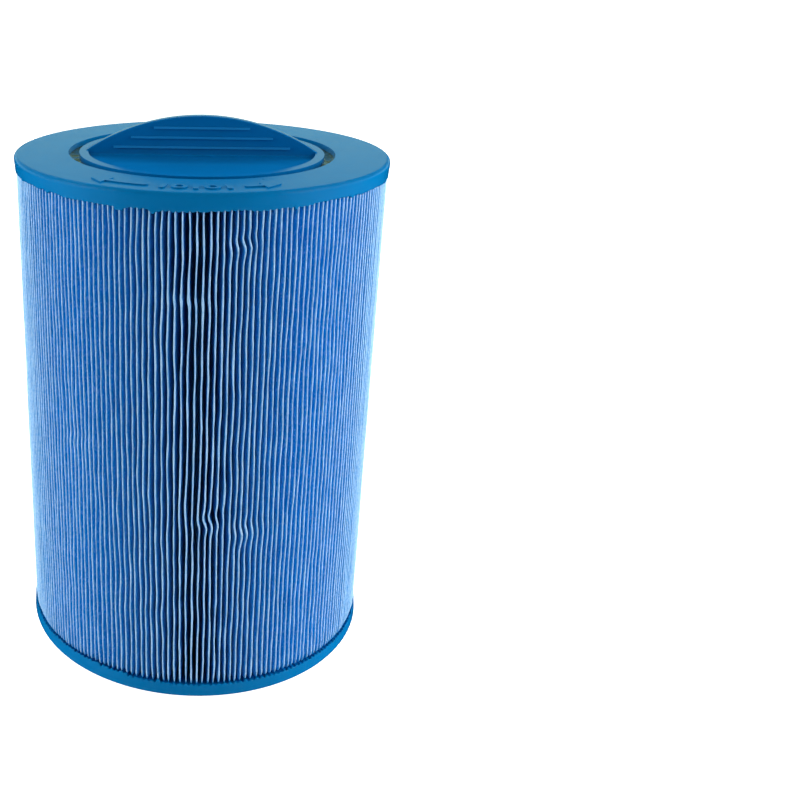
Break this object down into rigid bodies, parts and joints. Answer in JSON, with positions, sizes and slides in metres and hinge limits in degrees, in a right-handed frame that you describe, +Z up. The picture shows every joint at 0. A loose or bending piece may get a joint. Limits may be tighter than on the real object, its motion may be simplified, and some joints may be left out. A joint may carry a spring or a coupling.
{
  "type": "filter cartridge",
  "caption": "Round pleated spa filter cartridge with cast end caps, a moulded arch handle on top and a short coarse-threaded nipple below.",
  "frame": {"origin": "centre of the threaded nipple's end face, on which the cartridge stands", "axes": "+Z up along the cartridge's axis, from the nipple to the handle; the handle web runs along X"},
  "size_m": [0.1497, 0.1498, 0.2436],
  "materials": {
    "cap_resin": "cast polyurethane, blue, satin gloss",
    "moulded_blue": "injection moulded, blue, gloss",
    "adhesive": "cured adhesive, amber",
    "core_plastic": "injection moulded, pale grey",
    "media_cloth": "spun-bonded polyester, blue"
  },
  "bodies": {
    "root": {"top_end_cap": "cap_resin", "bottom_end_cap": "cap_resin", "handle_insert": "moulded_blue", "threaded_adapter": "moulded_blue", "top_adhesive_bead": "adhesive", "bottom_adhesive_bead": "adhesive", "media_seam": "adhesive", "lower_core": "core_plastic", "upper_core": "core_plastic", "pleated_media": "media_cloth"}
  },
  "joints": []
}
